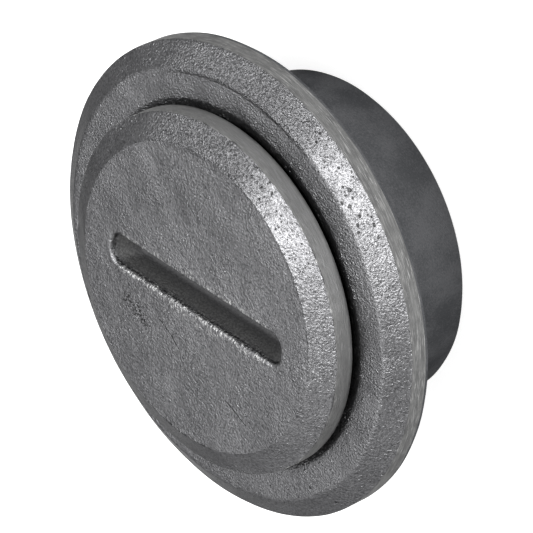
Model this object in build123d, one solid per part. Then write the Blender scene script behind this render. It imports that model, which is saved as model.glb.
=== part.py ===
from build123d import *
import os

# Deck filler cap: a cast deck socket with a screw plug and a flat seal ring under the plug's head.
# The socket is one casting, a bevelled flange on a barrel. It is welded into a hole in a deck,
# and the filler pipe is welded into the barrel from below. The plug is cast too, with a slot
# in its top for a flat key and a hollow underside. It screws down on the seal ring.
# Sizes are in millimetres. The origin is the centre of the flange's underside, which lies on
# the deck, and +Z points out of the deck along the axis.

# Flange: a turned rim, then an as-cast bevel up to a flat face
FLANGE_DIAMETER = 120.0
RIM_HEIGHT = 5.2
RIM_EDGE_BREAK = 0.3
FLANGE_BEVEL_RUN = 5.8
FLANGE_BEVEL_RISE = 3.9
FLANGE_FACE_ROUND = 2.0

# Barrel below the deck
BARREL_DIAMETER = 83.0
BARREL_LENGTH = 30.3
BARREL_FOOT_CHAMFER = 0.8

# Filler pipe that is welded into the barrel's lower end
PIPE_DIAMETER = 76.1
PIPE_CLEARANCE = 0.25
PIPE_SOCKET_DEPTH = 14.0

# Parallel pipe thread, 2 1/2 inch, 11 threads to the inch.
# Both threads are cylinders near the pitch diameter here, with the clearance between them.
THREAD_PITCH_DIAMETER = 73.705
THREAD_DEPTH = 1.479
THREAD_CLEARANCE = 0.08
THREAD_MOUTH_CHAMFER = 1.0

# Turned seat around the thread, sunk a little into the flange's cast face
SEAT_DEPTH = 0.6
SEAT_CLEARANCE = 1.8

# Flat seal ring
SEAL_OUTER_DIAMETER = 86.0
SEAL_THICKNESS = 2.5
SEAL_NECK_CLEARANCE = 0.3

# Plug's head: a turned side, then an as-cast bevel up to a flat top
HEAD_DIAMETER = 90.8
HEAD_SIDE_HEIGHT = 4.2
HEAD_EDGE_BREAK = 0.3
HEAD_BEVEL_RUN = 6.3
HEAD_BEVEL_RISE = 3.2
HEAD_TOP_ROUND = 2.0

# Plug's body below the head
NECK_UNDERCUT = 0.3
NECK_LENGTH = 3.8
PLUG_THREAD_LENGTH = 16.2
PLUG_LEAD_CHAMFER = 1.2

# Cored hollow under the head, with draft for the core
HEAD_THICKNESS = 9.6
HOLLOW_DIAMETER = 61.0
HOLLOW_DRAFT_RUN = 0.6
HOLLOW_CEILING_BEVEL = 2.4

# Key slot in the plug's top, as cast: its length and width are at the mouth, and its walls lean in
SLOT_LENGTH = 56.0
SLOT_WIDTH = 8.0
SLOT_DEPTH = 7.0
SLOT_DRAFT_ANGLE = 12.0
SLOT_LIP_ROUND = 1.0
SLOT_FLOOR_BEVEL = 0.8

# Bar across the hollow that backs the slot
BAR_FLOOR_THICKNESS = 5.5
BAR_WALL_THICKNESS = 5.0
BAR_DRAFT_RUN = 0.8
BAR_FOOT_ROUND = 1.5

# Radii and heights that follow from the sizes above
flange_radius = FLANGE_DIAMETER / 2
flange_face_radius = flange_radius - FLANGE_BEVEL_RUN
flange_face_z = RIM_HEIGHT + FLANGE_BEVEL_RISE
barrel_radius = BARREL_DIAMETER / 2
pipe_bore_radius = PIPE_DIAMETER / 2 + PIPE_CLEARANCE
pipe_stop_z = PIPE_SOCKET_DEPTH - BARREL_LENGTH

thread_pitch_radius = THREAD_PITCH_DIAMETER / 2
socket_thread_radius = thread_pitch_radius + THREAD_CLEARANCE / 2
plug_thread_radius = thread_pitch_radius - THREAD_CLEARANCE / 2
thread_root_radius = thread_pitch_radius - THREAD_DEPTH / 2

seat_z = flange_face_z - SEAT_DEPTH
seat_radius = HEAD_DIAMETER / 2 + SEAT_CLEARANCE
seat_edge_radius = seat_radius + SEAT_DEPTH

head_radius = HEAD_DIAMETER / 2
head_under_z = seat_z + SEAL_THICKNESS
head_side_top_z = head_under_z + HEAD_SIDE_HEIGHT
head_top_z = head_side_top_z + HEAD_BEVEL_RISE
head_top_radius = head_radius - HEAD_BEVEL_RUN

neck_radius = thread_root_radius - NECK_UNDERCUT
neck_foot_z = head_under_z - NECK_LENGTH
plug_foot_z = neck_foot_z - PLUG_THREAD_LENGTH
slot_floor_z = head_top_z - SLOT_DEPTH
hollow_radius = HOLLOW_DIAMETER / 2
hollow_ceiling_z = head_top_z - HEAD_THICKNESS
bar_foot_z = slot_floor_z - BAR_FLOOR_THICKNESS


def turned(outline, rounds=()):
    """Solid of revolution about Z from an outline of (radius, height) points.

    rounds pairs a point of the outline with the fillet radius there.
    """
    half = make_face(Plane.XZ * Polyline(*outline, close=True))
    for (radius, height), size in rounds:
        corner = half.vertices().sort_by_distance((radius, 0, height))[0]
        half = fillet(corner, size)
    return revolve(half, axis=Axis.Z)


def deck_socket():
    """Flange and barrel, one casting, with the plug's seat and thread and the pipe's bore."""
    mouth_radius = socket_thread_radius + THREAD_MOUTH_CHAMFER
    face_edge = (flange_face_radius, flange_face_z)
    face_width = flange_face_radius - seat_edge_radius
    outline = [
        (barrel_radius - BARREL_FOOT_CHAMFER, -BARREL_LENGTH),
        (barrel_radius, BARREL_FOOT_CHAMFER - BARREL_LENGTH),
        (barrel_radius, 0),
        (flange_radius, 0),
        (flange_radius, RIM_HEIGHT - RIM_EDGE_BREAK),
        (flange_radius - RIM_EDGE_BREAK, RIM_HEIGHT),
        face_edge,
        (seat_edge_radius, flange_face_z),
        (seat_radius, seat_z),
        (mouth_radius, seat_z),
        (socket_thread_radius, seat_z - THREAD_MOUTH_CHAMFER),
        (socket_thread_radius, pipe_stop_z),
        (pipe_bore_radius, pipe_stop_z),
        (pipe_bore_radius, -BARREL_LENGTH),
    ]
    return turned(outline, [(face_edge, min(FLANGE_FACE_ROUND, face_width))])


def seal_ring():
    """Flat ring between the socket's seat and the plug's head, held on the plug's neck."""
    inner_radius = neck_radius + SEAL_NECK_CLEARANCE
    outer_radius = SEAL_OUTER_DIAMETER / 2
    outline = [
        (inner_radius, seat_z),
        (outer_radius, seat_z),
        (outer_radius, head_under_z),
        (inner_radius, head_under_z),
    ]
    return turned(outline)


def key_slot():
    """The space that the deck key fills: round ends, walls with draft and a bevelled floor edge."""
    mouth = Pos(0, 0, head_top_z) * SlotOverall(SLOT_LENGTH, SLOT_WIDTH)
    slot = extrude(mouth, SLOT_DEPTH, dir=(0, 0, -1), taper=SLOT_DRAFT_ANGLE)
    floor_edges = slot.edges().group_by(Axis.Z)[0]
    return chamfer(floor_edges, SLOT_FLOOR_BEVEL)


def slot_bar():
    """Bar that runs across the hollow's ceiling under the key slot, wider at its root for draft."""
    foot_half_width = SLOT_WIDTH / 2 + BAR_WALL_THICKNESS
    root_half_width = foot_half_width + BAR_DRAFT_RUN
    section = Polyline(
        (-foot_half_width, bar_foot_z),
        (foot_half_width, bar_foot_z),
        (root_half_width, hollow_ceiling_z),
        (-root_half_width, hollow_ceiling_z),
        close=True,
    )
    bar = extrude(make_face(Plane.YZ * section), hollow_radius, both=True)
    foot_edges = bar.edges().group_by(Axis.Z)[0].filter_by(Axis.X)
    return fillet(foot_edges, BAR_FOOT_ROUND)


def screw_plug():
    """Head, neck and threaded skirt, one casting, with the key slot above and a hollow below."""
    top_edge = (head_top_radius, head_top_z)
    ceiling_bevel_radius = hollow_radius - HOLLOW_DRAFT_RUN
    outline = [
        (0, head_top_z),
        top_edge,
        (head_radius - HEAD_EDGE_BREAK, head_side_top_z),
        (head_radius, head_side_top_z - HEAD_EDGE_BREAK),
        (head_radius, head_under_z),
        (neck_radius, head_under_z),
        (neck_radius, neck_foot_z),
        (plug_thread_radius, neck_foot_z),
        (plug_thread_radius, plug_foot_z + PLUG_LEAD_CHAMFER),
        (plug_thread_radius - PLUG_LEAD_CHAMFER, plug_foot_z),
        (hollow_radius, plug_foot_z),
        (ceiling_bevel_radius, hollow_ceiling_z - HOLLOW_CEILING_BEVEL),
        (ceiling_bevel_radius - HOLLOW_CEILING_BEVEL, hollow_ceiling_z),
        (0, hollow_ceiling_z),
    ]
    plug = turned(outline, [(top_edge, HEAD_TOP_ROUND)]) + slot_bar() - key_slot()
    top_face = plug.faces().sort_by(Axis.Z)[-1]
    lip_edges = top_face.inner_wires()[0].edges()
    return fillet(lip_edges, SLOT_LIP_ROUND)


PARTS = {
    "deck_socket": deck_socket,
    "seal_ring": seal_ring,
    "screw_plug": screw_plug,
}

os.makedirs("parts", exist_ok=True)
for name, make in PARTS.items():
    export_step(make(), f"parts/{name}.step")
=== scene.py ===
"""Visual model of a deck filler cap: the deck socket and the screw plug as castings, and the seal ring.

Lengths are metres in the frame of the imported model: the origin is the centre of the flange's underside,
+Z points out of the deck, and X runs along the plug's key slot.
"""

import bpy
import numpy as np
from mathutils import Matrix, Vector


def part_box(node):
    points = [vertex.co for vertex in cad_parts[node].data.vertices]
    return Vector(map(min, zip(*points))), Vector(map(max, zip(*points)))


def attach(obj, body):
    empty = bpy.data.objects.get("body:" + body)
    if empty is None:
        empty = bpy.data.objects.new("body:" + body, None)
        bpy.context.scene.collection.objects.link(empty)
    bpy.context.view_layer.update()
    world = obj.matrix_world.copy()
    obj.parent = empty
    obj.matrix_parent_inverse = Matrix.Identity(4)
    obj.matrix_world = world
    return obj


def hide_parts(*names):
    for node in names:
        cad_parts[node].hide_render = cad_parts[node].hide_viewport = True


bl_info = {
    "name": "Deck Filler Cap",
    "version": (1, 0, 0),
    "blender": (4, 5, 0),
    "location": "View3D > Sidebar > Filler Cap",
    "description": "Builds a cast deck filler cap: socket, screw plug, seal ring and studio",
    "category": "Add Mesh",
}

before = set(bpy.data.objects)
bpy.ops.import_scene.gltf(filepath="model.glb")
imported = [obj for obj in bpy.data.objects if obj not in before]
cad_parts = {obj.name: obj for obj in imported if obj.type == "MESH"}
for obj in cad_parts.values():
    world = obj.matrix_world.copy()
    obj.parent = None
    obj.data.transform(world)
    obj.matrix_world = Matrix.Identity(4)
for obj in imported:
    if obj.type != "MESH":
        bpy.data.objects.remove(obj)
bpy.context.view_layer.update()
SOCKET_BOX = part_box("deck_socket")
PLUG_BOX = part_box("screw_plug")
SEAL_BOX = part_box("seal_ring")
MM = 0.001

# Points round each piece. With the rows of the outlines below, each stays under the limit.
TRIANGLE_LIMIT = 200_000
SOCKET_COLUMNS = 600
PLUG_COLUMNS = 576
SEAL_COLUMNS = 192
THREAD_ROWS = 7

# Zones of a casting's cross-section that are cast, that are turned, and that keep their plain form
CAST_ZONES = ["cast", "bevel", "lip", "slot", "hollow"]
TURNED_ZONES = ["turned", "seat", "thread", "bore"]
PLAIN_ZONES = ["thread", "bore", "seat"]

# Small forms: the round of turned edges and of the seal's, the seal's gaps to the neck and the head's
# skirt, the slope inside the skirt and of the bar's sides, and the power that blunts the slot's ends
EDGE_ROUND = 0.25 * MM
SEAL_ROUND = 0.4 * MM
SEAL_INSIDE = 0.3 * MM
SEAL_OUTSIDE = 0.7 * MM
SKIRT_SLOPE = 0.3 * MM
BAR_SLOPE = 0.8 * MM
SLOT_END_POWER = 0.75

# Relief in millimetres: (height, wavelength, seed) of each noise, and how far both kinds are sunk below
# the plain form. Turned rows have a small share of the skin's.
SKIN_NOISES = ((0.035, 2.0, 11), (0.08, 5.5, 23))
WARP_NOISE = (0.14, 14.0, 37)
RELIEF_SINK = 0.04
TURNED_RELIEF = 0.08

# Where finishes fade: the lip by x, the painted shade at the slot's floor and the rubbed foot of the head's
# side by height, the painted shade on the seat under the head by radius, and the bevels' pits and grit by
# angle in degrees
LIP_ENDS = (24 * MM, 28 * MM)
SLOT_FLOOR_SHADE_TOP = (11.8 * MM, 15 * MM)
RUBBED_TOP = (11.2 * MM, 14.6 * MM)
UNDER_HEAD_SHADE_EDGE = (43.6 * MM, 44.8 * MM)
HEAD_LIMIT = 46 * MM
PITTED_ARC = (28, 44, 70, 88)
GRITTY_ARC = (60, 78, 104, 125)

# Start value for the least of several distances
FAR = 9.0

# The studio's lights: azimuth and elevation in degrees, and each one's share of the light power
LIGHTS = {
    "filler_key_light": (76, 70, 0.9),
    "filler_right_light": (40, 58, 0.3),
    "filler_low_light": (20, 8, 0.29),
    "filler_near_light": (270, 50, 0.105),
    "filler_back_light": (225, 60, 0.145),
    "filler_left_light": (146, 70, 0.32),
    "filler_rear_light": (250, 15, 0.03),
}

# Marks that the photograph shows, in millimetres: larger pits as (x, y, z, radius) and thin scratches in
# the plug's top as (x, y) of both ends
SOCKET_PITS = (
    (25.0, 51.3, 7.0, 0.45), (24.8, 53.2, 6.0, 0.4), (28.1, 51.1, 6.8, 0.45), (32.4, 47.8, 6.7, 0.4),
    (36.6, 44.1, 6.9, 0.62), (36.3, 41.0, 8.7, 0.5), (38.1, 40.8, 8.0, 0.62), (40.8, 39.4, 7.4, 0.62),
    (41.2, 37.4, 8.1, 0.5), (44.4, 38.2, 6.0, 0.55), (42.0, 35.9, 8.4, 0.5), (38.0, 42.6, 7.1, 0.4),
    (46.2, 35.8, 6.1, 0.45), (40.8, -40.8, 6.7, 0.5), (20.7, -46.4, 9.1, 0.5), (34.1, -39.2, 9.1, 0.5),
)
PLUG_PITS = (
    (14.8, 42.4, 15.3, 0.5), (17.8, 39.0, 16.4, 0.45), (20.7, 38.6, 15.9, 0.5), (18.4, 36.5, 17.4, 0.4),
    (19.2, 40.6, 15.3, 0.4), (-4.1, -16.5, 18.4, 0.4), (-6.7, -14.3, 18.4, 0.3), (25.2, -25.2, 18.0, 0.5),
)
PLUG_SCRATCHES = (
    ((-11.2, -11.7), (-6.7, -14.3)), ((-6.7, -14.3), (-4.1, -16.5)), ((13.2, -22.1), (20.1, -25.3)),
)
SPECKLED_SPOTS = ((-22.6, -12.3, 18.4, 3.4), (-19.5, -13.6, 18.4, 4.0), (-16.5, -14.8, 18.4, 3.4))

# The photograph's camera: its place, and the directions of its picture's right, its top and its back
CAMERA_PLACE = (0.6643, 0.6000, 0.6615)
CAMERA_RIGHT = (0.67780, 0.06327, -0.73252)
CAMERA_UP = (-0.43162, 0.84080, -0.32675)
CAMERA_BACK = (0.59523, 0.53764, 0.59720)
CAMERA_LENS = 316.3


def length(name, description, default):
    """A length property, in metres."""
    return bpy.props.FloatProperty(
        name=name, description=description, default=default, unit="LENGTH", subtype="DISTANCE", precision=5
    )


def colour(name, description, default):
    """A linear colour property."""
    return bpy.props.FloatVectorProperty(
        name=name, description=description, default=default, subtype="COLOR", size=3, min=0, max=1
    )


def level(name, description, default):
    """A plain number property, where 0 is black and 1 is white."""
    return bpy.props.FloatProperty(name=name, description=description, default=default, min=0, max=1)


class FillerSocketSizes(bpy.types.PropertyGroup):
    """Sizes of the deck socket."""

    flange_radius: length("Flange radius", "Outer radius of the turned rim", SOCKET_BOX[1].x)
    face_height: length("Face height", "Height of the flange's face above the deck", SOCKET_BOX[1].z)
    rim_height: length("Rim height", "Height of the turned rim", 5.2 * MM)
    rim_break: length("Rim edge break", "Width of the break along the rim's upper edge", 0.06 * MM)
    bevel_run: length("Bevel run", "Radial width of the cast bevel", 5.8 * MM)
    face_round: length("Face round", "Radius where the bevel meets the face", 2.0 * MM)
    barrel_radius: length("Barrel radius", "Outer radius of the barrel", 41.5 * MM)
    foot_height: length("Foot height", "Height of the barrel's foot, below the deck", SOCKET_BOX[0].z)
    foot_break: length("Foot edge break", "Chamfer round the barrel's foot", 0.8 * MM)
    pipe_radius: length("Pipe bore radius", "Radius of the bore that takes the pipe", 38.3 * MM)
    pipe_depth: length("Pipe bore depth", "Depth of the bore that takes the pipe", 14.0 * MM)
    seat_radius: length("Seat radius", "Radius of the turned seat round the plug", 45.8 * MM)
    seat_height: length("Seat height", "Height of the turned seat above the deck", SEAL_BOX[0].z)


class FillerPlugSizes(bpy.types.PropertyGroup):
    """Sizes of the screw plug and the seal ring."""

    head_radius: length("Head radius", "Radius of the head's turned side", PLUG_BOX[1].x)
    head_foot: length("Head foot", "Height of the head's underside", SEAL_BOX[1].z)
    head_skirt: length("Head skirt", "What the head's edge hangs down by round the seal", 0.9 * MM)
    head_side: length("Head side", "Height of the head's turned side", 4.2 * MM)
    head_top: length("Head top", "Height of the head's cast top", PLUG_BOX[1].z)
    head_break: length("Head edge break", "Width of the break along the side's upper edge", 0.06 * MM)
    bevel_run: length("Bevel run", "Radial width of the head's cast bevel", 6.3 * MM)
    top_round: length("Top round", "Only adds rows: the bevel's edge at the top stays sharp", 2.0 * MM)
    slot_length: length("Slot length", "Length of the key slot", 59.0 * MM)
    slot_width: length("Slot width", "Width of the key slot", 8.0 * MM)
    slot_depth: length("Slot depth", "Depth of the key slot", 7.0 * MM)
    slot_lean: length("Slot lean", "What each wall leans in by, down to the floor", 1.49 * MM)
    slot_end_lean: length("Slot end lean", "What each end leans in by besides", 2.5 * MM)
    slot_lip: length("Slot lip", "Radius of the slot's cast lip", 1.0 * MM)
    slot_fillet: length("Slot fillet", "Radius at the slot's floor", 1.0 * MM)
    neck_radius: length("Neck radius", "Radius of the relief under the head", 35.8 * MM)
    neck_foot: length("Neck foot", "Height where the thread begins", 7.2 * MM)
    plug_foot: length("Plug foot", "Height of the threaded skirt's foot", PLUG_BOX[0].z)
    hollow_radius: length("Hollow radius", "Radius of the cored hollow at its mouth", 30.5 * MM)
    hollow_draft: length("Hollow draft", "What the hollow narrows by from mouth to ceiling", 0.6 * MM)
    hollow_ceiling: length("Hollow ceiling", "Height of the hollow's ceiling", 8.8 * MM)
    hollow_bevel: length("Hollow bevel", "Bevel between the hollow's wall and ceiling", 2.4 * MM)
    bar_foot: length("Bar foot", "Height of the underside of the bar under the slot", 5.9 * MM)
    bar_half_width: length("Bar half width", "Half the width of that bar", 9.0 * MM)
    seal_radius: length("Seal radius", "Outer radius of the seal ring", SEAL_BOX[1].x)


class FillerThreadSizes(bpy.types.PropertyGroup):
    """The parallel pipe thread, 2 1/2 inch, 11 turns to the inch."""

    pitch: length("Pitch", "Height of one turn", 25.4 * MM / 11)
    pitch_radius: length("Pitch radius", "Radius half way up the thread's flank", 36.8525 * MM)
    depth: length("Depth", "Height of the thread from root to crest", 1.479 * MM)
    clearance: length("Clearance", "Radial gap between the two threads", 0.08 * MM)
    mouth: length("Mouth", "How far the socket's mouth is wider than the pitch radius", 1.04 * MM)
    lead: length("Lead", "How far the plug's lead is narrower than the pitch radius", 1.24 * MM)


class FillerFinish(bpy.types.PropertyGroup):
    """Colours of the castings and the seal."""

    cast: colour("Cast skin", "Sand-cast skin", (0.101, 0.101, 0.104))
    cast_bright: colour("Cast grains", "High spots of the cast skin", (0.137, 0.137, 0.141))
    # Dark low spots of the grains. Also laid on as painted shade at the slot's floor and between the lip's
    # glints
    hollows_and_shade: colour("Cast hollows", "Low spots of the cast skin, and painted shade", (0.042, 0.042, 0.044))
    pit: colour("Pits", "Small pits in the cast skin", (0.02, 0.02, 0.02))
    slot: colour("Slot", "Wall and floor of the key slot", (0.095, 0.095, 0.095))
    # Painted glints: pale dashes on the grains along the slot's lip
    lip: colour("Slot lip", "Painted glints on the grains along the key slot's lip", (0.24, 0.24, 0.24))
    side: colour("Head side", "Turned side of the plug's head, and its thread", (0.25, 0.25, 0.248))
    side_dark: colour("Head side marks", "Dark streaks of the head's side", (0.18, 0.18, 0.179))
    rim: colour("Rim", "Turned rim of the flange, and the socket's thread", (0.155, 0.155, 0.153))
    rim_dark: colour("Rim marks", "Dark streaks of the rim", (0.1, 0.1, 0.1))
    scratched: colour("Fine lines", "Bright fine lines of turning", (0.36, 0.36, 0.358))
    # Painted shade: near black on the seat under the plug's head, where the head shades it
    under_head_shade: colour("Under-head shade", "Painted shade on the seat under the plug's head", (0.008, 0.008, 0.008))
    edge: colour("Edge tint", "Tint of the castings at a low angle", (0.35, 0.35, 0.35))
    barrel: colour("Barrel", "Smooth skin of the barrel", (0.086, 0.087, 0.091))
    barrel_dark: colour("Barrel patches", "Darker patches of the barrel's skin", (0.053, 0.0545, 0.0575))
    barrel_bright: colour("Barrel specks", "Bright specks of the barrel's skin", (0.14, 0.142, 0.148))
    rubber: colour("Rubber", "Seal ring", (0.018, 0.018, 0.019))


class FillerStudio(bpy.types.PropertyGroup):
    """Floor, surroundings and lights."""

    floor_size: length("Floor size", "Side of the square floor", 6.0)
    floor: level("Floor colour", "How pale the floor is", 0.4)
    floor_white: level("Floor white", "How white the camera sees an unlit floor", 0.85)
    world_light: level("World light", "Level of the surroundings as light on matt surfaces", 0.5)
    light_power: bpy.props.FloatProperty(
        name="Light power", description="Power of a light whose share is 1", default=9.6, unit="POWER"
    )
    light_distance: length("Light distance", "From the middle of the object to each light", 0.8)
    light_size: length("Light size", "Side of each square light", 0.4)


def lattice_noise(points, wavelength, seed):
    """Smooth noise between about -1 and 1.

    Space is cut into cubes one wavelength wide, with a random slope at each corner. The value is the
    eight corners' slopes times the way from each corner, blended with 6t^5 - 15t^4 + 10t^3 on each axis.
    """
    scaled = points / wavelength
    cell = np.floor(scaled).astype(np.int64)
    part = scaled - cell
    fade = part**3 * (part * (part * 6 - 15) + 10)
    total = np.zeros(points.shape[:-1])
    for corner in np.ndindex(2, 2, 2):
        weight = np.prod(np.where(corner, fade, 1 - fade), axis=-1)
        total += weight * np.sum(corner_slope(cell + corner, seed) * (part - corner), axis=-1)
    return total * 1.5


def corner_slope(cell, seed):
    """A repeatable random vector for each lattice corner, each part between -1 and 1."""
    mixed = (cell[..., 0] * 73856093) ^ (cell[..., 1] * 19349663) ^ (cell[..., 2] * 83492791)
    mixed = (mixed + seed * 2654435761) & 0xFFFFFFFF
    parts = []
    for factor in (1274126177, 2246822519, 3266489917):
        mixed = ((mixed ^ (mixed >> 15)) * factor) & 0xFFFFFFFF
        mixed ^= mixed >> 13
        parts.append((mixed & 0xFFFF) / 32767.5 - 1)
    return np.stack(parts, axis=-1)


def smooth(value, low, high):
    """0 below low, 1 above high, and 3t^2 - 2t^3 between them."""
    t = np.clip((value - low) / (high - low), 0, 1)
    return t * t * (3 - 2 * t)


def outline(corners):
    """Rows of a cross-section: radii, heights and the zone of each row.

    corners lists (radius, height, round, steps, zone). A straight run goes from the corner before, in
    steps equal parts. A corner with a round is three rows of the conic (1-t)^2 a + 2t(1-t) c + t^2 b,
    from a to b round the corner c, tangent to the runs beside it. The outline is open. Its first corner
    only starts it, and its last one stays sharp.
    """
    points = np.array([corner[:2] for corner in corners], float)
    start = points[0]
    rows, names = [start], [corners[0][4]]
    for k in range(1, len(corners)):
        corner, (size, steps, zone) = points[k], corners[k][2:]
        begin = end = corner
        if size and k < len(corners) - 1:
            back, ahead = (way / np.hypot(*way) for way in (points[k - 1] - corner, points[k + 1] - corner))
            reach = size * np.tan((np.pi - np.arccos(np.clip(back @ ahead, -1, 1))) / 2)
            begin, end = corner + back * reach, corner + ahead * reach
        run = [start + (begin - start) * share for share in np.arange(1, steps + 1) / steps]
        if size:
            shares = np.array([1, 2, 3]) / 3
            run += [(1 - t) ** 2 * begin + 2 * t * (1 - t) * corner + t**2 * end for t in shares]
        rows += run
        names += [zone] * len(run)
        start = end
    rows = np.array(rows)
    return rows[:, 0], rows[:, 1], np.array(names)


def thread_wave(turns):
    """Rounded V thread, 1 at each crest and -1 at each root, for a count of turns along the axis.

    A triangle wave w goes through 1.5 w - 0.5 w^3, which leaves the flanks straight and rounds the rest.
    """
    wave = 1 - 4 * np.abs(turns - np.floor(turns) - 0.5)
    return 1.5 * wave - 0.5 * wave**3


def thread_radius(thread, heights, angles, side):
    """Radius of a right-hand thread on a grid of heights (rows) by angles (columns).

    The crest climbs one pitch in each turn of the angle. side is -1 for the plug and 1 for the socket.
    """
    turns = heights[:, None] / thread.pitch - angles[None, :] / (2 * np.pi)
    return thread.pitch_radius + side * thread.clearance / 2 + thread.depth / 2 * thread_wave(turns)


def column_angles(columns):
    """The angle of each column of a turned surface, evenly round the axis."""
    return np.arange(columns) * 2 * np.pi / columns


def ring_grid(radii, heights, angles):
    """Points of a turned surface: (r cos a, r sin a, z) for each row's r and z and each column's angle a."""
    radii = radii if np.ndim(radii) == 2 else radii[:, None]
    parts = np.broadcast_arrays(radii * np.cos(angles), radii * np.sin(angles), heights[:, None])
    return np.stack(parts, axis=-1)


def zone_share(grid, zones, wanted, width):
    """How far each row is inside the wanted zones: 0.5 at their border, 1 or 0 at width / 2 from it.

    The distance is measured along the cross-section at the grid's first column.
    """
    steps = np.linalg.norm(np.diff(grid[:, 0], axis=0), axis=-1)
    place = np.concatenate([[0], np.cumsum(steps)])
    inside = np.isin(zones, wanted)
    apart = np.abs(place[:, None] - place[None, :])
    to_outside = np.where(inside[None, :], np.inf, apart).min(axis=1)
    to_inside = np.where(inside[None, :], apart, np.inf).min(axis=1)
    depth = np.where(inside, to_outside, -to_inside)
    return np.broadcast_to(np.clip(0.5 + depth / width, 0, 1)[:, None], grid.shape[:2])


def outward(grid, closed):
    """Unit normals of a grid of points, from the cross product of its column and row differences."""
    if closed:
        rows = np.roll(grid, -1, axis=0) - np.roll(grid, 1, axis=0)
    else:
        rows = np.gradient(grid, axis=0)
    columns = np.roll(grid, -1, axis=1) - np.roll(grid, 1, axis=1)
    normals = np.cross(columns, rows)
    return normals / np.maximum(np.linalg.norm(normals, axis=-1, keepdims=True), 1e-12)


def roughen(grid, zones, closed):
    """The grid moved along its normals by relief, which is noise of three wavelengths.

    The two short ones are the sand-cast skin. The long one is the warp, which the turned bands share.
    The mean is a little below the plain form, so the skin stays within its size.
    """
    skin = sum(height * lattice_noise(grid, wave * MM, seed) for height, wave, seed in SKIN_NOISES)
    height, wave, seed = WARP_NOISE
    warp = height * lattice_noise(grid, wave * MM, seed)
    cast = zone_share(grid, zones, CAST_ZONES, 1.0 * MM)
    free = ~np.isin(zones, PLAIN_ZONES)[:, None]
    relief = free * ((skin - RELIEF_SINK) * np.maximum(cast, TURNED_RELIEF) + warp - RELIEF_SINK)
    return grid + outward(grid, closed) * (relief * MM)[..., None]


def grid_faces(rows, columns, closed):
    """Quads between neighbouring rows, which wrap round the columns, and round the rows if closed."""
    last = rows if closed else rows - 1
    row = np.arange(last)[:, None]
    column = np.arange(columns)[None, :]
    below = row * columns
    above = ((row + 1) % rows) * columns
    beside = (column + 1) % columns
    quads = np.stack([below + column, below + beside, above + beside, above + column], axis=-1)
    return quads.reshape(-1, 4)


def zip_faces(first, columns, upward):
    """Faces that close a long thin ring on itself, each point joined to the one across its long axis."""
    near = np.arange(1, columns // 2 - 1)
    far = columns - near
    quads = first + np.stack([near, near + 1, far - 1, far], axis=-1)
    ends = first + np.array([[0, 1, columns - 1], [columns // 2 - 1, columns // 2, columns // 2 + 1]])
    if not upward:
        quads, ends = quads[:, ::-1], ends[:, ::-1]
    return quads.tolist() + ends.tolist()


def add_mesh(name, grid, faces, tags, soft_rows=()):
    """Mesh object from a grid of points and its faces, with one float attribute for each tag.

    It is smooth shaded, and edges sharper than about 40 degrees stay crisp, but not in soft_rows.
    """
    mesh = bpy.data.meshes.new(name)
    mesh.from_pydata(grid.reshape(-1, 3).tolist(), [], faces)
    for tag, values in tags.items():
        flat = np.ascontiguousarray(values, dtype=np.float32).ravel()
        mesh.attributes.new(tag, "FLOAT", "POINT").data.foreach_set("value", flat)
    mesh.shade_smooth()
    mesh.set_sharp_from_angle(angle=0.7)
    soften(mesh, soft_rows, grid.shape[1])
    piece = bpy.data.objects.new(name, mesh)
    bpy.context.scene.collection.objects.link(piece)
    return piece


def soften(mesh, rows, columns):
    """Takes the crisp mark off every edge that lies in the given rows."""
    if not len(rows):
        return
    ends = np.empty(2 * len(mesh.edges), dtype=np.int32)
    mesh.edges.foreach_get("vertices", ends)
    sharp = np.empty(len(mesh.edges), dtype=bool)
    marks = mesh.attributes["sharp_edge"]
    marks.data.foreach_get("value", sharp)
    in_rows = np.isin(ends // columns, rows).reshape(-1, 2).all(axis=1)
    marks.data.foreach_set("value", sharp & ~in_rows)


def socket_surface(sizes, thread):
    """Grid of the whole socket and the zone of each row.

    The cross-section goes up the barrel, over the flange and the seat, down the thread and the pipe's
    bore, and closes at the foot. In the thread the radius is the thread's form, cut by the mouth's cone.
    """
    mouth = thread.pitch_radius + thread.mouth
    stop = sizes.foot_height + sizes.pipe_depth
    slope = 1.5 * (sizes.face_height - sizes.seat_height)
    thread_steps = round((sizes.seat_height - stop) / thread.pitch * THREAD_ROWS)
    radii, heights, zones = outline([
        (sizes.pipe_radius, sizes.foot_height, 0, 0, "bore"),
        (sizes.barrel_radius - sizes.foot_break, sizes.foot_height, 0, 3, "bore"),
        (sizes.barrel_radius, sizes.foot_height + sizes.foot_break, 0, 2, "barrel"),
        (sizes.barrel_radius, 0, 0, 18, "barrel"),
        (sizes.flange_radius, 0, EDGE_ROUND, 6, "barrel"),
        (sizes.flange_radius, sizes.rim_height - sizes.rim_break, 0, 8, "turned"),
        (sizes.flange_radius - sizes.rim_break, sizes.rim_height, 0, 1, "bevel"),
        (sizes.flange_radius - sizes.bevel_run, sizes.face_height, sizes.face_round, 13, "bevel"),
        (sizes.seat_radius + slope, sizes.face_height, 2 * MM, 9, "cast"),
        (sizes.seat_radius - slope, sizes.seat_height, 1.5 * MM, 3, "cast"),
        (mouth, sizes.seat_height, 0, 8, "seat"),
        (mouth, stop, 0, thread_steps, "thread"),
        (sizes.pipe_radius, stop, 0, 1, "bore"),
        (sizes.pipe_radius, sizes.foot_height + EDGE_ROUND, 0, 5, "bore"),
    ])
    angles = column_angles(SOCKET_COLUMNS)
    cone = mouth - (sizes.seat_height - heights)
    form = np.maximum(thread_radius(thread, heights, angles, 1), cone[:, None])
    radii = np.where((zones == "thread")[:, None], form, radii[:, None])
    return ring_grid(radii, heights, angles), zones


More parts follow.
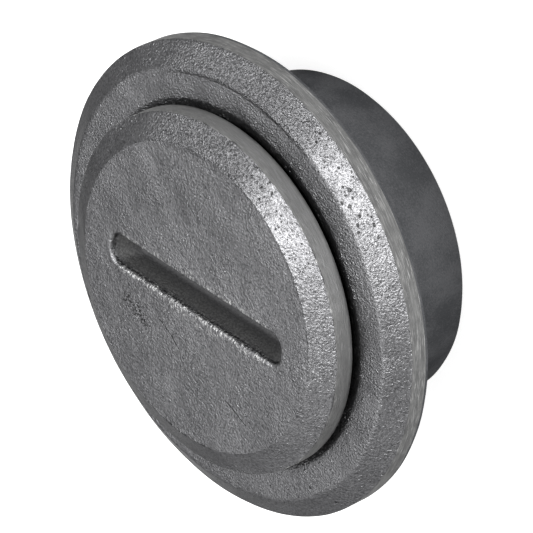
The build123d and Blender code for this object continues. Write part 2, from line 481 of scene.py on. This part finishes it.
def slot_ring(sizes, half_width, angles, drawn_in=0.0):
    """The key slot's outline at a distance from its middle line, one (x, y) for each column.

    A column's share of the turn is its share of the slot's length round. Its place is a point of the
    middle line plus half_width along (cos t, sin t), each to a power under 1, which blunts the ends.
    drawn_in is what either end of the middle line is shorter by.
    """
    core = (sizes.slot_length - sizes.slot_width) / 2
    quarter = np.pi / 2 * sizes.slot_width / 2
    knots = np.cumsum([0, quarter, 2 * core, 2 * quarter, 2 * core, quarter])
    way = angles / (2 * np.pi) * knots[-1]
    middle = np.interp(way, knots, [core, core, -core, -core, core, core])
    turn = np.interp(way, knots, np.pi * np.array([0, 0.5, 0.5, 1.5, 1.5, 2]))
    ways = np.stack([np.cos(turn), np.sin(turn)], axis=-1)
    blunt = np.sign(ways) * np.abs(ways) ** SLOT_END_POWER
    blunt[..., 0] += middle * (1 - drawn_in / core) / half_width
    return blunt * half_width


def head_top(sizes, radius, angles):
    """Grid of the head's top from a circle inwards, with the slot's lip, wall and floor, and its zones.

    On the top a ring is (1 - t) times the circle plus t times the slot's outer lip. Below it each ring
    is the slot's outline at its own distance from the middle line: a quarter circle over the lip, down
    the wall, a quarter circle into the floor, and in. Below the lip the distance also shrinks with the
    depth by the wall's lean, and the middle line by the ends' own lean.
    """
    half = sizes.slot_width / 2
    floor = sizes.head_top - sizes.slot_depth
    circle = radius * np.stack([np.cos(angles), np.sin(angles)], axis=-1)
    lip = slot_ring(sizes, half + sizes.slot_lip, angles)
    share = (np.arange(1, 33) / 32)[:, None, None]
    flat = (1 - share) * circle + share * lip
    flat = np.concatenate([flat, np.full((*flat.shape[:2], 1), sizes.head_top)], axis=-1)
    turn = np.radians(np.arange(15, 91, 15))
    wall = np.linspace(sizes.head_top - sizes.slot_lip, floor + sizes.slot_fillet, 5)[1:]
    foot = np.radians(np.array([30, 60, 90]))
    inward = np.array([0.72, 0.45, 0.2, 0.05])
    widths = np.concatenate([
        half + sizes.slot_lip * (1 - np.sin(turn)),
        np.full(len(wall), half),
        half - sizes.slot_fillet * (1 - np.cos(foot)),
        (half - sizes.slot_fillet) * inward,
    ])
    heights = np.concatenate([
        sizes.head_top - sizes.slot_lip * (1 - np.cos(turn)),
        wall,
        floor + sizes.slot_fillet * (1 - np.sin(foot)),
        np.full(len(inward), floor),
    ])
    sunk = np.clip(sizes.head_top - sizes.slot_lip - heights, 0, None) / (sizes.slot_depth - sizes.slot_lip)
    widths *= 1 - sunk * sizes.slot_lean / half
    cut = np.empty((len(widths), len(angles), 3))
    for row, (width, height) in enumerate(zip(widths, heights)):
        cut[row, :, :2] = slot_ring(sizes, width, angles, sunk[row] * sizes.slot_end_lean)
        cut[row, :, 2] = height
    names = ["cast"] * len(flat) + ["lip"] * len(turn) + ["slot"] * (len(widths) - len(turn))
    return np.concatenate([flat, cut]), names


def hollow_ceiling(sizes, radius, angles):
    """Grid of the hollow's ceiling, from its middle line out to a circle.

    A column keeps nearly the x of its point on the circle, and its y grows from near 0 to the circle's.
    Its rows crowd where y passes the sides of the bar under the slot, so the bar's sides stay straight.
    """
    reach = radius * np.abs(np.sin(angles))
    side = sizes.bar_half_width + BAR_SLOPE / 2
    middle = np.minimum(side / np.maximum(reach, side), 0.86)
    to_side = (0.03, 0.3, 0.6, 0.8, 0.9, 0.96, 1.0, 1.04, 1.08, 1.13)
    beyond = (0.12, 0.3, 0.5, 0.7, 0.88)
    past = middle * to_side[-1]
    share = np.array([middle * part for part in to_side] + [past + (1 - past) * part for part in beyond])
    x = radius * np.cos(angles) * (1 - 0.04 * (1 - share))
    y = share * radius * np.sin(angles)
    return np.stack([x, y, np.full_like(x, sizes.hollow_ceiling)], axis=-1)


def bar_heights(sizes, grid):
    """Heights of the hollow's points, lowered to the underside of the bar where they are above it.

    Across the bar the height is its underside, plus the rest up to the ceiling times 3t^2 - 2t^3.
    """
    side = sizes.bar_half_width
    rise = smooth(np.abs(grid[..., 1]), side - BAR_SLOPE, side + BAR_SLOPE)
    return np.minimum(grid[..., 2], sizes.bar_foot + (sizes.hollow_ceiling - sizes.bar_foot) * rise)


def plug_surface(sizes, thread):
    """Grid of the whole plug and its zones, from the hollow's ceiling round to the key slot's floor.

    In the thread the radius is the thread's form, cut by the lead's cone and by the run-out at the neck.
    """
    angles = column_angles(PLUG_COLUMNS)
    lead = thread.pitch_radius - thread.lead
    ceiling_radius = sizes.hollow_radius - sizes.hollow_draft
    side_top = sizes.head_foot + sizes.head_side
    skirt_foot = sizes.head_foot - sizes.head_skirt
    skirt = sizes.seal_radius + SEAL_OUTSIDE
    thread_steps = round((sizes.neck_foot - sizes.plug_foot) / thread.pitch * THREAD_ROWS)
    radii, heights, zones = outline([
        (ceiling_radius - sizes.hollow_bevel, sizes.hollow_ceiling, 0, 0, "hollow"),
        (ceiling_radius, sizes.hollow_ceiling - sizes.hollow_bevel, 0, 3, "hollow"),
        (sizes.hollow_radius, sizes.plug_foot, EDGE_ROUND, 8, "hollow"),
        (lead, sizes.plug_foot, 0, 3, "bore"),
        (lead, sizes.neck_foot, 0, thread_steps, "thread"),
        (sizes.neck_radius, sizes.head_foot, 0, 3, "bore"),
        (skirt, sizes.head_foot, 0, 3, "bore"),
        (skirt + SKIRT_SLOPE, skirt_foot, EDGE_ROUND, 1, "bore"),
        (sizes.head_radius, skirt_foot, EDGE_ROUND, 1, "bore"),
        (sizes.head_radius, side_top - sizes.head_break, 0, 7, "turned"),
        (sizes.head_radius - sizes.head_break, side_top, 0, 1, "bevel"),
        (sizes.head_radius - sizes.bevel_run, sizes.head_top, sizes.top_round, 12, "bevel"),
    ])
    cone = lead + (heights - sizes.plug_foot)
    run_out = sizes.neck_radius + 1.5 * (sizes.neck_foot - heights)
    form = np.minimum(thread_radius(thread, heights, angles, -1), np.minimum(cone, run_out)[:, None])
    side_radii = np.where((zones == "thread")[:, None], form, radii[:, None])
    ceiling = hollow_ceiling(sizes, radii[0], angles)
    body = ring_grid(side_radii, heights, angles)
    top, top_zones = head_top(sizes, radii[-1], angles)
    grid = np.concatenate([ceiling, body, top])
    zones = np.array(["hollow"] * len(ceiling) + list(zones) + top_zones)
    hollow = zones == "hollow"
    grid[hollow, :, 2] = bar_heights(sizes, grid[hollow])
    return grid, zones


def arc_share(angle, arc):
    """1 between an arc's two middle angles, 0 before its first and past its last, and smooth between."""
    start, full, fading, end = arc
    return smooth(angle, start, full) * (1 - smooth(angle, fading, end))


def casting_tags(grid, zones):
    """Vertex values that the casting's material reads, each 1 where its finish is and 0 elsewhere."""
    x, y, z = np.moveaxis(grid, -1, 0)
    angle = np.degrees(np.arctan2(y, x))
    radius = np.hypot(x, y)
    bevel = zone_share(grid, zones, ["bevel"], 1.0 * MM)
    head_side = (zones == "turned")[:, None] * (radius < HEAD_LIMIT)
    return {
        "turned": zone_share(grid, zones, TURNED_ZONES, 1.6 * MM),
        "slot": zone_share(grid, zones, ["slot"], 2.2 * MM),
        # Painted shade, darker towards the key slot's floor
        "slot_floor_shade": (zones == "slot")[:, None] * (1 - smooth(z, *SLOT_FLOOR_SHADE_TOP)),
        "lip": zone_share(grid, zones, ["lip"], 2.4 * MM) * (1 - smooth(np.abs(x), *LIP_ENDS)),
        "pitted": bevel * (0.25 + 0.75 * arc_share(angle, PITTED_ARC)),
        # Painted shade on the seat under the head, fading out just inside the head's edge
        "under_head_shade": zone_share(grid, zones, ["seat"], 1.4 * MM) * (1 - smooth(radius, *UNDER_HEAD_SHADE_EDGE)),
        "rubbed": head_side * (1 - smooth(z, *RUBBED_TOP)),
        "gritty": bevel * arc_share(angle, GRITTY_ARC),
    }


class Nodes:
    """Adds nodes to the node tree of a material or the world, each linked to its inputs as it is made."""

    def __init__(self, tree):
        self.tree = tree
        self.tree.nodes.clear()

    def add(self, kind, inputs, output=0, **settings):
        """A node. inputs gives each input's value, or the output that feeds it. Returns one output."""
        node = self.tree.nodes.new(kind)
        for key, value in settings.items():
            setattr(node, key, value)
        for key, value in inputs.items():
            if isinstance(value, bpy.types.NodeSocket):
                self.tree.links.new(value, node.inputs[key])
            else:
                node.inputs[key].default_value = value
        return node.outputs[output] if len(node.outputs) else node

    def math(self, operation, first, second=0.0):
        """One sum, product or other operation on numbers."""
        return self.add("ShaderNodeMath", {0: first, 1: second}, operation=operation)

    def plus(self, first, second):
        """The sum of two numbers."""
        return self.math("ADD", first, second)

    def times(self, first, second):
        """The product of two numbers."""
        return self.math("MULTIPLY", first, second)

    def total(self, *terms):
        """The sum of a few numbers, each times its own factor."""
        result, *products = [self.times(*term) for term in terms]
        for product in products:
            result = self.plus(result, product)
        return result

    def uneven(self, value, noise, size):
        """A number that a noise moves up and down by half of size."""
        return self.plus(value, self.times(self.math("SUBTRACT", noise, 0.5), size))

    def noise(self, vector, wavelength, detail=2.0, roughness=0.5):
        """Noise from 0 to 1, with a wavelength in metres."""
        inputs = {"Vector": vector, "Scale": 1 / wavelength, "Detail": detail, "Roughness": roughness}
        return self.add("ShaderNodeTexNoise", inputs)

    def band(self, value, low, high, start=0.0, end=1.0):
        """start below low, end above high, and a smooth step between them."""
        inputs = {"Value": value, "From Min": low, "From Max": high, "To Min": start, "To Max": end}
        return self.add("ShaderNodeMapRange", inputs, interpolation_type="SMOOTHSTEP")

    def mix(self, share, first, second):
        """A number between two numbers."""
        return self.add("ShaderNodeMix", {0: share, 2: first, 3: second}, data_type="FLOAT")

    def coats(self, tint, *layers):
        """A colour under others that are laid on in order, each as (share, colour)."""
        for share, coat in layers:
            inputs = {0: share, 6: rgba(tint), 7: rgba(coat)}
            tint = self.add("ShaderNodeMix", inputs, output=2, data_type="RGBA")
        return tint

    def vector(self, operation, first, second, output="Vector"):
        """One operation on two vectors."""
        return self.add("ShaderNodeVectorMath", {0: first, 1: second}, output=output, operation=operation)

    def to_spots(self, place, spots):
        """The least distance to a few spots, each as a share of its radius. Spots are (x, y, z, radius)."""
        least = FAR
        for spot in spots:
            centre = tuple(part * MM for part in spot[:3])
            apart = self.vector("DISTANCE", place, centre, output="Value")
            least = self.math("MINIMUM", self.math("DIVIDE", apart, spot[3] * MM), least)
        return least

    def to_line(self, place, start, end):
        """The distance to a straight line between two places."""
        way = Vector(end) - Vector(start)
        apart = self.vector("SUBTRACT", place, tuple(start))
        along = self.vector("DOT_PRODUCT", apart, tuple(way / way.length_squared), output="Value")
        along = self.math("MINIMUM", self.math("MAXIMUM", along, 0.0), 1.0)
        foot = self.add("ShaderNodeVectorMath", {0: tuple(way), "Scale": along}, operation="SCALE")
        return self.vector("DISTANCE", apart, foot, output="Value")

    def tag(self, name):
        """The mesh's vertex value of that name."""
        return self.add("ShaderNodeAttribute", {}, output=2, attribute_name=name)

    def place(self):
        """The place on the piece, in the piece's own frame."""
        return self.add("ShaderNodeTexCoord", {}, output="Object")

    def bump(self, height, size):
        """The normal of a surface with a relief of height times size."""
        return self.add("ShaderNodeBump", {"Height": height, "Distance": size, "Strength": 1.0})


def new_material(name, **constants):
    """A material with one Principled shader. constants are set on its sockets. Returns it and its nodes."""
    material = bpy.data.materials.new(name)
    material.use_nodes = True
    nodes = Nodes(material.node_tree)
    shader = material.node_tree.nodes.new("ShaderNodeBsdfPrincipled")
    output = material.node_tree.nodes.new("ShaderNodeOutputMaterial")
    material.node_tree.links.new(shader.outputs[0], output.inputs[0])
    for key, value in constants.items():
        shader.inputs[key.replace("_", " ")].default_value = value
    return material, nodes, shader


def connect(nodes, shader, **sources):
    """Feeds the shader's sockets from node outputs."""
    for key, source in sources.items():
        nodes.tree.links.new(source, shader.inputs[key.replace("_", " ")])


def rgba(tint):
    """A colour of three parts as four numbers. A node's output stays as it is."""
    return tint if isinstance(tint, bpy.types.NodeSocket) else (*tint, 1.0)


def darker(tint):
    """A colour of three parts at 0.6 of its level."""
    return tuple(0.6 * part for part in tint)


def scratches(nodes, place, grains):
    """1 in the thin scratches of the plug's top, and in the dark specks of one spot beside its slot.

    Heights are flattened before the distance to a scratch is taken, so the top's warp doesn't hide it.
    """
    flat = 0.2
    flattened = nodes.vector("MULTIPLY", place, (1.0, 1.0, flat))
    apart = FAR
    for start, end in PLUG_SCRATCHES:
        ends = [(x * MM, y * MM, flat * PLUG_BOX[1].z) for x, y in (start, end)]
        apart = nodes.math("MINIMUM", nodes.to_line(flattened, *ends), apart)
    line = nodes.uneven(apart, grains, 0.25 * MM)
    line = nodes.band(line, 0.12 * MM, 0.26 * MM, 1.0, 0.0)
    spot = nodes.band(nodes.to_spots(place, SPECKLED_SPOTS), 0.3, 1.0, 1.0, 0.0)
    specks = nodes.band(nodes.noise(place, 0.7 * MM, 1.0), 0.49, 0.58)
    return nodes.math("MAXIMUM", line, nodes.times(specks, spot))


def pit_share(nodes, place, grains, spacing, spots):
    """1 in the pits: small ones where the pitted tag is, and larger ones at the given spots.

    The small ones are round the points of a Voronoi pattern. The grains make all their edges uneven.
    """
    cells = nodes.add("ShaderNodeTexVoronoi", {"Vector": place, "Scale": 1 / spacing}, output="Distance")
    cells = nodes.uneven(cells, grains, 0.15)
    depth = nodes.math("SUBTRACT", nodes.times(nodes.tag("pitted"), 0.16), cells)
    near = nodes.uneven(nodes.to_spots(place, spots), grains, 0.6)
    return nodes.math("MAXIMUM", nodes.band(depth, -0.02, 0.05), nodes.band(near, 0.35, 0.95, 1.0, 0.0))


def skin_colour(nodes, finish, place, grains, lip):
    """Colour of the cast skin: grains between dark low spots, and broad darker patches.

    Along the slot's lip it has short dashes, painted glints and painted shade by turns, that lie across the
    slot.
    In the slot it is plainer, with painted shade towards the floor.
    """
    mottle = nodes.noise(place, 15 * MM, 3.0)
    dashes = nodes.noise(nodes.vector("MULTIPLY", place, (1.0, 0.4, 0.4)), 0.48 * MM, 2.0)
    slot = nodes.coats(
        darker(finish.slot),
        (nodes.band(grains, 0.35, 0.65), finish.slot),
        # Painted shade: the slot darkens towards its floor
        (nodes.times(nodes.tag("slot_floor_shade"), 0.7), finish.hollows_and_shade),
    )
    return nodes.coats(
        finish.cast,
        (nodes.band(grains, 0.45, 0.65), finish.cast_bright),
        (nodes.band(grains, 0.32, 0.43, 0.75, 0.0), finish.hollows_and_shade),
        (nodes.band(mottle, 0.35, 0.7, 0.0, 0.25), finish.hollows_and_shade),
        # Painted glints and, between them, painted shade along the slot's lip
        (nodes.times(lip, nodes.band(dashes, 0.5, 0.6)), finish.lip),
        (nodes.times(lip, nodes.band(dashes, 0.38, 0.48, 0.5, 0.0)), finish.hollows_and_shade),
        (nodes.tag("slot"), slot),
    )


def metal_colour(nodes, finish, bands, place, ragged, streaks, scores):
    """Colour of the turned bands: streaks of two colours, and bright fine lines that are worn in places."""
    tone = nodes.total((streaks, 0.3), (ragged, 0.3), (scores, 0.4))
    worn = nodes.band(nodes.noise(place, 7 * MM, 2.0), 0.45, 0.6, 0.25, 0.7)
    return nodes.coats(
        bands[0],
        (nodes.band(tone, 0.38, 0.62), bands[1]),
        (nodes.times(nodes.band(scores, 0.54, 0.66), worn), finish.scratched),
        (nodes.times(nodes.tag("rubbed"), 0.5), finish.scratched),
    )


def skin_height(nodes, place, grains, lumps, pits):
    """Height of the cast skin in millimetres: grains, lumps and a few taller grains, less the pits.

    It is coarse in some places and worn smooth in others, coarser on the lip and the bevels' gritty
    part, and finer in the slot.
    """
    tall = nodes.band(nodes.noise(place, 0.8 * MM, 1.0), 0.6, 0.74)
    coarse = nodes.band(nodes.noise(place, 11 * MM, 2.0), 0.36, 0.62, 0.55, 1.0)
    coarse = nodes.total((coarse, 1.0), (nodes.tag("lip"), 0.4), (nodes.tag("gritty"), 1.5))
    coarse = nodes.times(coarse, nodes.math("SUBTRACT", 1.0, nodes.times(nodes.tag("slot"), 0.5)))
    height = nodes.times(nodes.total((grains, 0.32), (lumps, 0.12), (tall, 0.12)), coarse)
    return nodes.math("SUBTRACT", height, nodes.times(pits, 0.12))


def casting_material(name, finish, bands, pit_spacing, spots, scratched):
    """Sand-cast skin with turned bands, whose dark and light colours are bands.

    The skin has small pits pit_spacing apart on its bevels, larger ones at spots, and thin scratches if
    scratched is true. The turned tag and a noise draw the ragged line between the skin and the bands.
    """
    edge = rgba(finish.edge)
    material, nodes, shader = new_material(name, Metallic=1.0, Specular_Tint=edge)
    place = nodes.place()
    ragged = nodes.noise(place, 2.6 * MM, 3.0, 0.6)
    grains = nodes.noise(place, 0.56 * MM, 2.0, 0.6)
    lumps = nodes.noise(place, 2.1 * MM, 2.0)
    streaks, scores = turning_lines(nodes, place)
    turned = nodes.band(nodes.uneven(nodes.tag("turned"), ragged, 0.9), 0.44, 0.56)
    lip = nodes.band(nodes.uneven(nodes.tag("lip"), ragged, 1.0), 0.15, 0.45)
    pits = pit_share(nodes, place, grains, pit_spacing, spots)
    if scratched:
        pits = nodes.math("MAXIMUM", pits, scratches(nodes, place, grains))

    metal = metal_colour(nodes, finish, bands, place, ragged, streaks, scores)
    # Painted shade under the plug's head, laid on the seat
    under_head_shade = nodes.band(nodes.uneven(nodes.tag("under_head_shade"), scores, 0.5), 0.2, 0.8)
    skin = skin_colour(nodes, finish, place, grains, lip)
    tint = nodes.coats(
        skin, (nodes.times(pits, 0.85), finish.pit), (turned, metal), (under_head_shade, finish.under_head_shade)
    )

    skin_rough = nodes.mix(lip, nodes.band(lumps, 0.3, 0.7, 0.32, 0.38), 0.45)
    skin_rough = nodes.mix(nodes.band(nodes.tag("slot"), 0.1, 0.6), skin_rough, 0.75)
    rough = nodes.mix(turned, skin_rough, nodes.band(streaks, 0.3, 0.7, 0.56, 0.46))
    metal_height = nodes.total((streaks, 0.03), (scores, 0.07))
    height = nodes.mix(turned, skin_height(nodes, place, grains, lumps, pits), metal_height)
    connect(nodes, shader, Base_Color=tint, Roughness=rough, Normal=nodes.bump(height, MM))
    return material


def turning_lines(nodes, place):
    """Two noises drawn out round the axis: broad streaks and fine scores.

    The noise is read at (direction from the axis times a length, radius plus height), so it changes
    slowly round the axis and fast along the cross-section.
    """
    split = nodes.add("ShaderNodeSeparateXYZ", {"Vector": place}, output="X").node
    flat = nodes.add("ShaderNodeCombineXYZ", {"X": split.outputs["X"], "Y": split.outputs["Y"]})
    radius = nodes.add("ShaderNodeVectorMath", {0: flat}, output="Value", operation="LENGTH")
    around = nodes.add("ShaderNodeVectorMath", {0: flat}, operation="NORMALIZE")
    across = nodes.plus(radius, split.outputs["Z"])
    lines = []
    for turns, width in ((9.0, 0.9 * MM), (18.0, 0.2 * MM)):
        along = nodes.add("ShaderNodeVectorMath", {0: around, "Scale": turns}, operation="SCALE")
        lift = nodes.add("ShaderNodeCombineXYZ", {"Z": nodes.math("DIVIDE", across, width)})
        lines.append(nodes.noise(nodes.vector("ADD", along, lift), 1.0, 3.0, 0.6))
    return lines


def barrel_material(finish):
    """Smooth dark skin of the barrel, with faint patches, fine bright specks and shallow turning marks."""
    edge = rgba(finish.edge)
    material, nodes, shader = new_material("filler_barrel_skin", Metallic=1.0, Specular_Tint=edge)
    place = nodes.place()
    patches = nodes.noise(place, 9 * MM, 3.0)
    specks = nodes.noise(place, 0.5 * MM, 2.0, 0.6)
    bright = nodes.band(nodes.noise(place, 0.5 * MM, 2.0), 0.55, 0.75, 0.0, 0.08)
    streaks, _ = turning_lines(nodes, place)
    tone = nodes.band(nodes.total((patches, 0.6), (specks, 0.4)), 0.35, 0.65)
    tint = nodes.coats(finish.barrel_dark, (tone, finish.barrel), (bright, finish.barrel_bright))
    rough = nodes.band(patches, 0.3, 0.7, 0.42, 0.52)
    height = nodes.total((specks, 0.08), (streaks, 0.02))
    connect(nodes, shader, Base_Color=tint, Roughness=rough, Normal=nodes.bump(height, MM))
    return material


def rubber_material(finish):
    """Matt moulded rubber with a fine bloom."""
    material, nodes, shader = new_material("filler_rubber", Metallic=0.0)
    bloom = nodes.noise(nodes.place(), 1.4 * MM, 3.0)
    tint = nodes.coats(darker(finish.rubber), (nodes.band(bloom, 0.35, 0.65), finish.rubber))
    rough = nodes.band(bloom, 0.3, 0.7, 0.62, 0.78)
    connect(nodes, shader, Base_Color=tint, Roughness=rough, Normal=nodes.bump(bloom, 0.03 * MM))
    return material


def seen_share(nodes):
    """1 for a ray from the camera, or one that metal or glass sends on, and 0 for the rest."""
    path = nodes.add("ShaderNodeLightPath", {}).node
    seen = nodes.math("MAXIMUM", path.outputs["Is Camera Ray"], path.outputs["Is Glossy Ray"])
    return nodes.math("MAXIMUM", seen, path.outputs["Is Transmission Ray"])


def floor_material(studio):
    """Pale floor. The camera and glossy rays see it near white, with the object's shadow in what it adds."""
    grey, white = rgba([studio.floor] * 3), rgba([1.0] * 3)
    material, nodes, shader = new_material(
        "filler_floor", Metallic=0.0, Roughness=0.9, Specular_IOR_Level=0.0,
        Base_Color=grey, Emission_Color=white,
    )
    connect(nodes, shader, Emission_Strength=nodes.times(seen_share(nodes), studio.floor_white))
    return material


def build_world(studio):
    """White to the camera and to metal, and a dimmer grey as light on matt surfaces."""
    world = bpy.data.worlds.new("filler_world")
    world.use_nodes = True
    nodes = Nodes(world.node_tree)
    strength = nodes.mix(seen_share(nodes), studio.world_light, 1.0)
    background = nodes.add("ShaderNodeBackground", {"Color": (1.0, 1.0, 1.0, 1.0), "Strength": strength})
    nodes.add("ShaderNodeOutputWorld", {"Surface": background})
    bpy.context.scene.world = world


def area_light(name, studio, azimuth, elevation, share):
    """A square area light in a direction from the object, facing it and hidden from the camera."""
    turn, lift = np.radians([azimuth, elevation])
    away = Vector((np.cos(lift) * np.cos(turn), np.cos(lift) * np.sin(turn), np.sin(lift)))
    data = bpy.data.lights.new(name, "AREA")
    data.size = studio.light_size
    data.energy = studio.light_power * share
    light = bpy.data.objects.new(name, data)
    light.location = away * studio.light_distance
    light.rotation_euler = away.to_track_quat("Z", "Y").to_euler()
    light.visible_camera = False
    bpy.context.scene.collection.objects.link(light)
    return light


def add_camera():
    """The photograph's camera: its place, its turned frame and its field of view."""
    data = bpy.data.cameras.new("filler_camera")
    data.sensor_width = 36
    data.lens = CAMERA_LENS
    data.clip_start = 0.05
    camera = bpy.data.objects.new("filler_camera", data)
    axes = Matrix((CAMERA_RIGHT, CAMERA_UP, CAMERA_BACK)).transposed().to_4x4()
    camera.matrix_world = Matrix.Translation(CAMERA_PLACE) @ axes
    bpy.context.scene.collection.objects.link(camera)
    bpy.context.scene.camera = camera


def add_casting(name, grid, zones, closed):
    """Mesh object of a casting from its plain grid: its tags are read first, then its relief is added.

    An open grid is closed at its first and last rings. A casting that is too fine stops the script.
    """
    rows, columns = grid.shape[:2]
    faces = grid_faces(rows, columns, closed).tolist()
    if not closed:
        faces += zip_faces(0, columns, False)
        faces += zip_faces((rows - 1) * columns, columns, True)
    if 2 * len(faces) >= TRIANGLE_LIMIT:
        raise RuntimeError(f"{name} has {len(faces)} faces, over {TRIANGLE_LIMIT} triangles")
    tags = casting_tags(grid, zones)
    return add_mesh(name, roughen(grid, zones, closed), faces, tags, np.flatnonzero(zones == "thread"))


class FILLER_OT_socket(bpy.types.Operator):
    """Build the deck socket: flange, barrel, seat, thread and pipe bore in one casting"""

    bl_idname = "mesh.filler_socket"
    bl_label = "Deck Socket"

    def execute(self, context):
        scene = context.scene
        grid, zones = socket_surface(scene.filler_socket, scene.filler_thread)
        piece = add_casting("filler_socket", grid, zones, True)
        finish = scene.filler_finish
        rim = (finish.rim_dark, finish.rim)
        skin = casting_material("filler_socket_casting", finish, rim, 1.7 * MM, SOCKET_PITS, False)
        piece.data.materials.append(skin)
        piece.data.materials.append(barrel_material(finish))
        on_barrel = np.repeat(zones == "barrel", SOCKET_COLUMNS).astype(np.int32)
        piece.data.polygons.foreach_set("material_index", on_barrel)
        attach(piece, "socket")
        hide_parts("deck_socket")
        return {"FINISHED"}


class FILLER_OT_plug(bpy.types.Operator):
    """Build the screw plug: head with key slot, neck, thread and hollow in one casting"""

    bl_idname = "mesh.filler_plug"
    bl_label = "Screw Plug"

    def execute(self, context):
        scene = context.scene
        grid, zones = plug_surface(scene.filler_plug, scene.filler_thread)
        piece = add_casting("filler_plug", grid, zones, False)
        finish = scene.filler_finish
        side = (finish.side_dark, finish.side)
        skin = casting_material("filler_plug_casting", finish, side, 1.4 * MM, PLUG_PITS, True)
        piece.data.materials.append(skin)
        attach(piece, "plug")
        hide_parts("screw_plug")
        return {"FINISHED"}


class FILLER_OT_seal(bpy.types.Operator):
    """Build the flat seal ring on the plug's neck"""

    bl_idname = "mesh.filler_seal"
    bl_label = "Seal Ring"

    def execute(self, context):
        scene = context.scene
        sizes = scene.filler_plug
        low, high = scene.filler_socket.seat_height, sizes.head_foot
        inner, outer = sizes.neck_radius + SEAL_INSIDE, sizes.seal_radius
        middle = (low + high) / 2
        radii, heights, _ = outline([
            (inner, middle, 0, 0, "rubber"),
            (inner, low, SEAL_ROUND, 3, "rubber"),
            (outer, low, SEAL_ROUND, 3, "rubber"),
            (outer, high, SEAL_ROUND, 4, "rubber"),
            (inner, high, SEAL_ROUND, 3, "rubber"),
            (inner, middle + 0.3 * MM, 0, 2, "rubber"),
        ])
        grid = ring_grid(radii, heights, column_angles(SEAL_COLUMNS))
        faces = grid_faces(len(grid), SEAL_COLUMNS, True).tolist()
        piece = add_mesh("filler_seal", grid, faces, {})
        piece.data.materials.append(rubber_material(scene.filler_finish))
        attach(piece, "seal")
        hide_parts("seal_ring")
        return {"FINISHED"}


class FILLER_OT_stage(bpy.types.Operator):
    """Set up the studio: pale floor, white surroundings, lights and the camera"""

    bl_idname = "mesh.filler_stage"
    bl_label = "Studio"

    def execute(self, context):
        scene = context.scene
        studio = scene.filler_studio
        half = studio.floor_size / 2
        foot = scene.filler_socket.foot_height
        corners = [(-half, -half, foot), (half, -half, foot), (half, half, foot), (-half, half, foot)]
        mesh = bpy.data.meshes.new("filler_floor")
        mesh.from_pydata(corners, [], [(0, 1, 2, 3)])
        floor = bpy.data.objects.new("filler_floor", mesh)
        floor.data.materials.append(floor_material(studio))
        scene.collection.objects.link(floor)
        build_world(studio)
        for name, placing in LIGHTS.items():
            area_light(name, studio, *placing)
        add_camera()
        scene.view_settings.view_transform = "Standard"
        return {"FINISHED"}


class FILLER_PT_panel(bpy.types.Panel):
    """Lists the operators that build the deck filler cap"""

    bl_idname = "FILLER_PT_panel"
    bl_label = "Deck Filler Cap"
    bl_space_type = "VIEW_3D"
    bl_region_type = "UI"
    bl_category = "Filler Cap"

    def draw(self, context):
        for operator in OPERATORS:
            self.layout.operator(operator.bl_idname)


GROUPS = {
    "filler_socket": FillerSocketSizes,
    "filler_plug": FillerPlugSizes,
    "filler_thread": FillerThreadSizes,
    "filler_finish": FillerFinish,
    "filler_studio": FillerStudio,
}
OPERATORS = (FILLER_OT_socket, FILLER_OT_plug, FILLER_OT_seal, FILLER_OT_stage)
CLASSES = (*GROUPS.values(), *OPERATORS, FILLER_PT_panel)


def register():
    """Registers the classes and gives the scene one group of settings for each kind."""
    for item in CLASSES:
        bpy.utils.register_class(item)
    for name, group in GROUPS.items():
        setattr(bpy.types.Scene, name, bpy.props.PointerProperty(type=group))


def unregister():
    """Takes the settings and the classes away again."""
    for name in GROUPS:
        delattr(bpy.types.Scene, name)
    for item in reversed(CLASSES):
        bpy.utils.unregister_class(item)


def main():
    """Builds every piece and the studio."""
    register()
    bpy.ops.mesh.filler_socket()
    bpy.ops.mesh.filler_plug()
    bpy.ops.mesh.filler_seal()
    bpy.ops.mesh.filler_stage()


if __name__ == "__main__":
    main()
